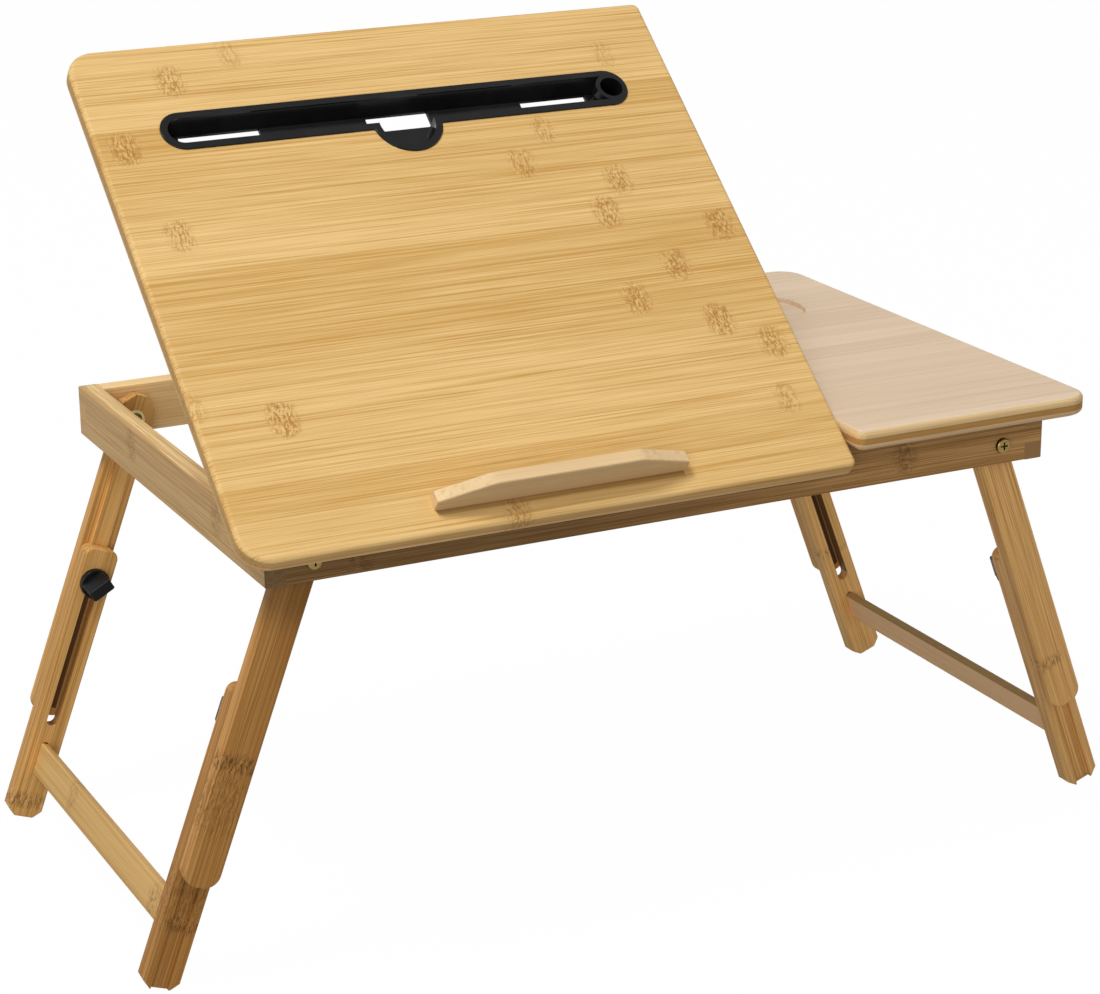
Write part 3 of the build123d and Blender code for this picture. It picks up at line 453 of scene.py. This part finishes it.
# painted light: a lighter copy of the rail look for the back rail's face, which lies in the panel's shadow
litBackRailLook = dict(railLook, light=(1.0, 0.73, 0.37), dark=(0.88, 0.55, 0.22), seed=6.0)
# painted light: a lighter copy of the rail look, for the left rail's top face
litLeftRailLook = dict(railLook, light=(0.93, 0.68, 0.33), dark=(0.60, 0.365, 0.135), lines=1.1, fibre=1.5)
legLook = {
    "light": (0.76, 0.435, 0.145), "dark": (0.45, 0.215, 0.05), "knuckle": (0.13, 0.055, 0.014),
    "stripWidth": 0.024, "knuckleShare": 0.0, "knuckleLength": 0.0058, "knuckleWidth": 0.016,
    "ragged": 0.6, "fringe": 0.85, "streaks": 1.1, "fibre": 0.8, "lines": 1.1, "seed": 8.0,
}
barLook = {
    "light": (0.68, 0.425, 0.155), "dark": (0.48, 0.27, 0.08), "knuckle": (0.3, 0.15, 0.045),
    "stripWidth": 0.024, "knuckleShare": 0.0, "lines": 0.8, "fibre": 0.6, "seed": 2.0,
}
# painted light: a lighter copy of the stretcher look for the right stretcher's face, which lies in shade
litRightBarLook = dict(barLook, light=(1.0, 0.66, 0.35), dark=(0.96, 0.56, 0.255))
ledgeLook = {
    "light": (0.86, 0.63, 0.36), "dark": (0.68, 0.47, 0.235), "knuckle": (0.45, 0.27, 0.11),
    "stripWidth": 0.018, "knuckleShare": 0.0, "fibre": 0.4, "seed": 6.0,
}
innerLook = {
    "light": (0.72, 0.50, 0.25), "dark": (0.54, 0.35, 0.15), "knuckle": (0.3, 0.16, 0.06),
    "stripWidth": 0.018, "knuckleShare": 0.3, "seed": 4.0,
}
shadedFaceDepth = {"left_rail": 0.0006, "stop_ledge": 0.0009, "stretcher_right": 0.0011}  # faces painted darker as painted shade, and how deep that darker skin reaches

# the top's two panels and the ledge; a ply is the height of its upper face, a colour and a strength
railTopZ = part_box("front_rail")[1][2]
panelThickness = mounts["side_top"]["pos_m"][2] - railTopZ
panelPlies = (
    (panelThickness * 0.8, (0.42, 0.22, 0.065), 0.6),
    (panelThickness * 0.34, (0.70, 0.45, 0.185), 0.8),
)
sidePlies = (
    (panelThickness * 0.97, (0.70, 0.48, 0.215), 0.85),
    (panelThickness * 0.62, (0.43, 0.215, 0.055), 0.9),
    (panelThickness * 0.3, (0.70, 0.48, 0.27), 0.9),
)
panelKnuckles = (  # along the panel's grain, up across it from the hinge line, and strength
    (-0.2127, 0.3011, 0.9), (-0.172, 0.3171, 0.5), (-0.2534, 0.2554, 1.0), (-0.2403, 0.1908, 0.8),
    (-0.2209, 0.0619, 1.0), (0.0035, 0.2379, 0.6), (-0.019, 0.2153, 0.8), (0.0369, 0.1949, 0.9),
    (0.0207, 0.1727, 1.0), (0.089, 0.1533, 1.0), (0.0492, 0.1296, 0.9), (0.0148, 0.1088, 0.9),
    (0.0605, 0.0865, 1.0), (0.0874, 0.0662, 0.9), (0.0795, 0.0271, 0.6), (-0.1103, -0.0202, 0.8),
    (-0.268, 0.0764, 0.5), (0.0648, 0.2903, 0.4),
)
noLimit = 1.0  # for a track that goes through the whole piece
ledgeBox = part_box("stop_ledge")
ledgeInset = 0.001
ledgeFront = min(vertex.co.dot(panelUp) for vertex in nodes["stop_ledge"].data.vertices)
# painted shadow: a dark line on the panel along the ledge's foot, standing in for its contact shadow
ledgeContactShade = {
    "across": ledgeFront - hingeLine.dot(panelUp), "half": 0.0006, "soft": 0.005,
    "strength": 0.68, "colour": (0.16, 0.072, 0.018), "reach": noLimit,
    "top": ledgeBox[1][0] - ledgeInset, "run": ledgeBox[1][0] - ledgeBox[0][0] - 2 * ledgeInset,
}
sideBox = [Vector(corner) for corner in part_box("fixed_panel")]
sideMiddle, sideHalf = (sideBox[0] + sideBox[1]) / 2, (sideBox[1] - sideBox[0]) / 2
sideBorder = {"along": (sideMiddle.x, sideHalf.x), "across": (sideMiddle.y, sideHalf.y), "width": 0.0065}
panelMat = bambooMaterial("panelBamboo", xAxis, panelNormal, panelLook, (0, hingeLine.y, hingeLine.z),
                          panelPlies, panelKnuckles, ledgeContactShade)
sideMat = bambooMaterial("sideBamboo", xAxis, zAxis, sideLook, (0, 0, railTopZ), sidePlies, border=sideBorder)
# painted shade: the ledge's front face, down the slope, is painted darker than its top
ledgeMat = bambooMaterial("ledgeBamboo", xAxis, panelUp, ledgeLook, panelUp * ledgeFront,
                          ((shadedFaceDepth["stop_ledge"], (0.42, 0.25, 0.095), 0.4),))

# the frame's rails, with end grain in the finger joints
railFoot = (0, 0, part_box("front_rail")[0][2])
alongEnds = {"middle": 0.0, "half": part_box("front_rail")[1][0], "colour": (0.34, 0.18, 0.06)}
acrossEnds = {"middle": frameMidY, "half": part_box("back_rail")[1][1] - frameMidY, "colour": (0.33, 0.19, 0.078)}
# painted shade: the left rail's outer face is painted darker than its top
leftRailShadeSkin = (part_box("left_rail")[0][0] + shadedFaceDepth["left_rail"], (0.42, 0.225, 0.078), 0.62)
# painted shade: the front rail darkens towards its left end and towards its top, under the panel's overhang
frontRailMat = bambooMaterial("frontRailBamboo", xAxis, yAxis, shadedRailLook, railFoot, ends=alongEnds,
                              shadeFades=((0, -0.12, 0.2, 0.55, 1.2), (1, -0.03, 0.0, 0.9, 1.3)),
                              knuckles=((0.153, -0.014, 0.9), (-0.05, -0.02, 0.7), (-0.195, -0.01, 0.7)))
# painted light: lighter rail look and lighter end grain on the back rail
backRailMat = bambooMaterial("backRailBamboo", xAxis, yAxis, litBackRailLook, railFoot,
                             ends=dict(alongEnds, colour=(0.56, 0.33, 0.13)),
                             knuckles=((-0.06, -0.016, 0.7), (0.13, -0.012, 0.8)))
# painted shade: the left rail's end grain in the finger joints is painted almost black
leftRailMat = bambooMaterial("leftRailBamboo", yAxis, xAxis, litLeftRailLook, railFoot, (leftRailShadeSkin,),
                             ends=dict(acrossEnds, colour=(0.07, 0.03, 0.008)),
                             knuckles=((0.067, 0.02, 0.7), (-0.077, 0.016, 0.7)))
rightRailMat = bambooMaterial("rightRailBamboo", yAxis, xAxis, dict(shadedRailLook, seed=9.0), railFoot,
                              ends=acrossEnds, knuckles=((0.04, 0.014, 0.7),))

# stretchers, prop and drawer
barTop = max(vertex.co.dot(legUp["right"]) for vertex in nodes["stretcher_right"].data.vertices)
barMat = bambooMaterial("stretcherBamboo", yAxis, xAxis, barLook,
                        knuckles=((-0.092, 0.038, 0.8), (0.06, 0.042, 0.6)))
# painted shade: the right stretcher's top edge is painted darker
rightBarMat = bambooMaterial("rightStretcherBamboo", yAxis, legUp["right"] * -1, litRightBarLook,
                             legUp["right"] * barTop, ((shadedFaceDepth["stretcher_right"], (0.40, 0.24, 0.075), 0.85),))
innerAlongMat = bambooMaterial("innerBambooAlong", xAxis, zAxis, innerLook)
innerAcrossMat = bambooMaterial("innerBambooAcross", yAxis, zAxis, innerLook)
crossbarBox = [Vector(corner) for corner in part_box("prop_crossbar")]
propAxis = (crossbarBox[0] + crossbarBox[1]) / 2 - Vector(joints["prop_swing"]["pos_m"])
propAxis.x = 0
propMat = bambooMaterial("propBamboo", propAxis, xAxis, innerLook)
rackMat = bambooMaterial("rackBamboo", panelUp, panelNormal, innerLook)
wood = {
    "tilting_panel": panelMat, "fixed_panel": sideMat, "stop_ledge": ledgeMat,
    "front_rail": frontRailMat, "back_rail": backRailMat, "left_rail": leftRailMat, "right_rail": rightRailMat,
    "drawer_front": rightRailMat, "drawer_back": innerAcrossMat, "drawer_bottom": innerAlongMat,
    "drawer_side_front": innerAlongMat, "drawer_side_back": innerAlongMat,
    "runner_front": innerAlongMat, "runner_back": innerAlongMat,
    "divider": innerAcrossMat, "slat_left": innerAcrossMat, "slat_right": innerAcrossMat,
    "prop_crossbar": innerAlongMat, "prop_arm_left": propMat, "prop_arm_right": propMat,
    "rack_left": rackMat, "rack_right": rackMat,
    "stretcher_left": barMat, "stretcher_right": rightBarMat,
}
for node, mat in wood.items():
    setMaterial(node, mat)

# each leg is cut from its own cane: a tint that is partly the cane's own tone and partly painted light and shade, the
# front left leg darker and the right legs lighter, then grain and the knuckles of its upper and lower member
calmGrain = {"streaks": 0.55, "lines": 0.65, "fibre": 1.2}
boldGrain = {"streaks": 1.5, "lines": 1.4}
legs = {
    "front_left": {
        "tint": (0.77, 0.71, 0.65), "grain": boldGrain, "slotShade": 0.2,
        # painted shadow: the front left leg darkens towards its top, under the rail
        "shadeFades": ((0, 0.104, 0.128, 1.0, 0.62),),
        "upper": ((0.031, -0.296, 1.0), (0.008, -0.298, 0.5, 5)),
        "lower": ((-0.069, -0.29, 0.9), (-0.05, -0.294, 0.5, 5)),
    },
    "back_left": {
        "tint": (1.1, 1.11, 1.13), "grain": {}, "slotShade": 0.2, "shadeFades": (),
        "upper": ((0.15, -0.294, 0.6),), "lower": ((-0.097, -0.297, 0.9),),
    },
    "front_right": {
        "tint": (1.2, 1.25, 1.45), "grain": calmGrain, "slotShade": 0.8, "shadeFades": (),
        "upper": ((-0.0085, 0.287, 0.65),), "lower": ((-0.11, 0.294, 0.5),),
    },
    "back_right": {
        "tint": (1.3, 1.36, 1.5), "grain": calmGrain, "slotShade": 0.8, "shadeFades": (),
        "upper": ((0.05, 0.294, 0.7),), "lower": ((-0.02, 0.294, 0.6),),
    },
}
slotRun = 0.0925
# painted shade inside the knob slots, set a little to one side of the tongue's middle
tongueShade = {"half": 0.0016, "soft": 0.0016, "strength": 0.92, "colour": (0.08, 0.03, 0.011)}
tongueAside, tongueDepth = 0.001, 0.0005
slotWallShade = {"half": 0.0038, "soft": 0.0003, "colour": (0.12, 0.055, 0.02), "reach": noLimit}
for number, (place, leg) in enumerate(legs.items()):
    end, side = place.split("_")
    knobAt = Vector(joints[f"knob_{place}_turn"]["pos_m"])
    slot = {"across": knobAt.dot(yAxis.cross(legUp[side])), "top": knobAt.dot(legUp[side]), "run": slotRun}
    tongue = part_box(f"upper_leg_{place}")[1 if end == "front" else 0][1]
    tracks = {  # painted shade: a dark line down the tongue, seen through the slot, and darker slot walls
        "upper": dict(slot, **tongueShade, reach=abs(tongue - frameMidY) + tongueDepth),
        "lower": dict(slot, **slotWallShade, strength=leg["slotShade"]),
    }
    tracks["upper"]["across"] += tongueAside
    tinted = {k: tuple(c * t for c, t in zip(legLook[k], leg["tint"])) for k in ("light", "dark", "knuckle")}
    for step, member in enumerate(("upper", "lower")):
        look = {**legLook, **tinted, **leg["grain"], "seed": legLook["seed"] + number * 3 + step}
        mat = bambooMaterial(f"{member}Leg_{place}", legUp[side], yAxis, look, knuckles=leg[member],
                             track=tracks[member], shadeFades=leg["shadeFades"])
        setMaterial(f"{member}_leg_{place}", mat)
print("woods done")


# plastics and metals
def speckleMaterial(name, colour, tint, roughness, metallic=0.0, bumpStrength=0.08, gloss=0.5):
    mat, tree, shader = newMaterial(name)
    coords = tree.nodes.new("ShaderNodeTexCoord").outputs["Object"]
    fine = noiseNode(tree, coords, scale=900, detail=3)
    wide = noiseNode(tree, coords, scale=50)
    tree.links.new(mixColour(tree, mapRange(tree, wide, 0.35, 0.7), colour, tint), shader.inputs["Base Color"])
    tree.links.new(mapRange(tree, fine, 0.2, 0.8, roughness - 0.06, roughness + 0.1), shader.inputs["Roughness"])
    shader.inputs["Metallic"].default_value = metallic
    shader.inputs["Specular IOR Level"].default_value = gloss
    addBump(tree, shader, fine, bumpStrength, 0.0002)
    return mat


# a bolt or nut: pale on one side of a step, and painted shade in its hollow and round its rim on the other, both
# measured out from the tray's middle
def boltMaterial(name, paleAt, recessShadeAt, pale, recessShade):
    mat, tree, shader = newMaterial(name)
    coords = tree.nodes.new("ShaderNodeTexCoord").outputs["Object"]
    reach = awayFrom(tree, splitVector(tree, coords)[1], frameMidY)
    smear = noiseNode(tree, coords, scale=420, detail=3)
    lift = mathNode(tree, "ADD", mapRange(tree, reach, recessShadeAt, paleAt), swing(tree, smear, 1.4), clamp=True)
    tree.links.new(mixColour(tree, lift, recessShade, pale), shader.inputs["Base Color"])
    tree.links.new(mapRange(tree, smear, 0.25, 0.75, 0.22, 0.42), shader.inputs["Roughness"])
    shader.inputs["Metallic"].default_value = 1.0
    return mat


nutLength = 0.0092
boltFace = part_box("pivot_bolts")[1][1] - frameMidY
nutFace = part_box("sleeve_nuts")[1][1] - frameMidY - nutLength
boltMat = boltMaterial("brassBolt", boltFace - 0.0004, boltFace - 0.0012, (0.30, 0.20, 0.068), (0.03, 0.02, 0.008))
nutMat = boltMaterial("brassNut", nutFace + 0.0003, nutFace + 0.0008, (0.50, 0.36, 0.14), (0.05, 0.034, 0.014))
blackMat = speckleMaterial("blackPlastic", (0.005, 0.005, 0.0052), (0.008, 0.008, 0.0085), 0.3, gloss=0.12)
insertMat = speckleMaterial("insertPlastic", (0.007, 0.007, 0.0072), (0.011, 0.011, 0.0115), 0.15, gloss=0.16,
                            bumpStrength=0.03)
brassMat = speckleMaterial("brassPlate", (0.48, 0.33, 0.12), (0.62, 0.45, 0.19), 0.3, metallic=1.0)
steelMat = speckleMaterial("zincSteel", (0.55, 0.55, 0.56), (0.66, 0.66, 0.66), 0.36, metallic=1.0)
setMaterial("slot_insert", insertMat)
setMaterial("pivot_bolts", boltMat)
setMaterial("sleeve_nuts", nutMat)
for name in nodes:
    if name.startswith("knob_stud") or name in ("prop_pins", "pivot_washers"):
        setMaterial(name, steelMat)
    elif name.startswith("knob_"):
        setMaterial(name, blackMat)
    elif name.startswith("threaded") or name in ("hinge_rail_leaves", "hinge_panel_leaves", "hinge_pins"):
        setMaterial(name, brassMat)
print("plastics and metals done")

# camera at the photograph's angle, for an image of 1100 by 994
photo = {"width": 1100, "height": 994, "focal": 2942.77, "centreX": 513.15, "centreY": 520.72,
         "yaw": 25.51, "pitch": 18.86, "roll": -0.71, "place": (-0.76559, -1.540265, 0.777635)}
yaw, pitch, roll = (math.radians(photo[k]) for k in ("yaw", "pitch", "roll"))
forward = Vector((math.sin(yaw) * math.cos(pitch), math.cos(yaw) * math.cos(pitch), -math.sin(pitch)))
right = Vector((math.cos(yaw), -math.sin(yaw), 0))
up = right.cross(forward)
right, up = right * math.cos(roll) + up * math.sin(roll), up * math.cos(roll) - right * math.sin(roll)
camData = bpy.data.cameras.new("photoCamera")
camData.sensor_fit = "HORIZONTAL"
camData.sensor_width = 36
camData.lens = photo["focal"] / photo["width"] * camData.sensor_width
camData.shift_x = (photo["width"] / 2 - photo["centreX"]) / photo["width"]
camData.shift_y = (photo["centreY"] - photo["height"] / 2) / photo["width"]
camData.clip_end = 50
cam = bpy.data.objects.new("photoCamera", camData)
turn = Matrix((right, up, -forward)).transposed()
cam.matrix_world = Matrix.Translation(photo["place"]) @ turn.to_4x4()
bpy.context.collection.objects.link(cam)
bpy.context.scene.camera = cam

# studio: a floor and a world that look white but throw little light back
studio = {"floorSize": 12.0, "floorDrop": 0.0005, "floorColour": (0.33, 0.325, 0.32),
          "seenFloor": (0.98, 0.98, 0.98), "white": 0.985, "worldStrength": 0.21}


def seenBy(tree):
    light = tree.nodes.new("ShaderNodeLightPath").outputs
    return light["Is Camera Ray"], mathNode(tree, "MAXIMUM", light["Is Camera Ray"], light["Is Glossy Ray"])


bpy.ops.object.select_all(action="DESELECT")
bpy.ops.mesh.primitive_plane_add(size=studio["floorSize"], location=(0, 0, -studio["floorDrop"]))
floor = bpy.context.object
floor.name = "studioFloor"
floorMat, tree, shader = newMaterial("studioFloor")
shader.inputs["Roughness"].default_value = 0.9
direct, seen = seenBy(tree)
tree.links.new(mixColour(tree, direct, studio["floorColour"], studio["seenFloor"]), shader.inputs["Base Color"])
glow = tree.nodes.new("ShaderNodeEmission")
glow.inputs["Strength"].default_value = 1.0
blend = tree.nodes.new("ShaderNodeMixShader")
tree.links.new(mathNode(tree, "MULTIPLY", seen, studio["white"]), blend.inputs[0])
tree.links.new(shader.outputs[0], blend.inputs[1])
tree.links.new(glow.outputs[0], blend.inputs[2])
tree.links.new(blend.outputs[0], tree.nodes["Material Output"].inputs["Surface"])
floor.data.materials.append(floorMat)

world = bpy.data.worlds.new("studioWorld")
world.use_nodes = True
bpy.context.scene.world = world
tree = world.node_tree
background = tree.nodes["Background"]
background.inputs["Color"].default_value = (1, 1, 1, 1)
direct, seen = seenBy(tree)
tree.links.new(mapRange(tree, seen, 0, 1, studio["worldStrength"], 1.0, smooth=False), background.inputs["Strength"])

lamps = {
    "keyLamp": {"place": (-2.0, -0.6, 4.9), "aim": (0, 0, 0.3), "size": 1.6, "power": 172},
    "frontLamp": {"place": (-1.5, -2.2, 0.7), "aim": (0, 0, 0.2), "size": 1.4, "power": 23},
    "fillLamp": {"place": (1.9, -1.4, 1.4), "aim": (0, 0, 0.25), "size": 1.6, "power": 8},
}
for name, lamp in lamps.items():
    lampData = bpy.data.lights.new(name, "AREA")
    lampData.size = lamp["size"]
    lampData.energy = lamp["power"]
    obj = bpy.data.objects.new(name, lampData)
    obj.location = lamp["place"]
    obj.rotation_euler = (Vector(lamp["aim"]) - Vector(lamp["place"])).to_track_quat("-Z", "Y").to_euler()
    bpy.context.collection.objects.link(obj)
bpy.context.scene.view_settings.view_transform = "Standard"
print("studio done")
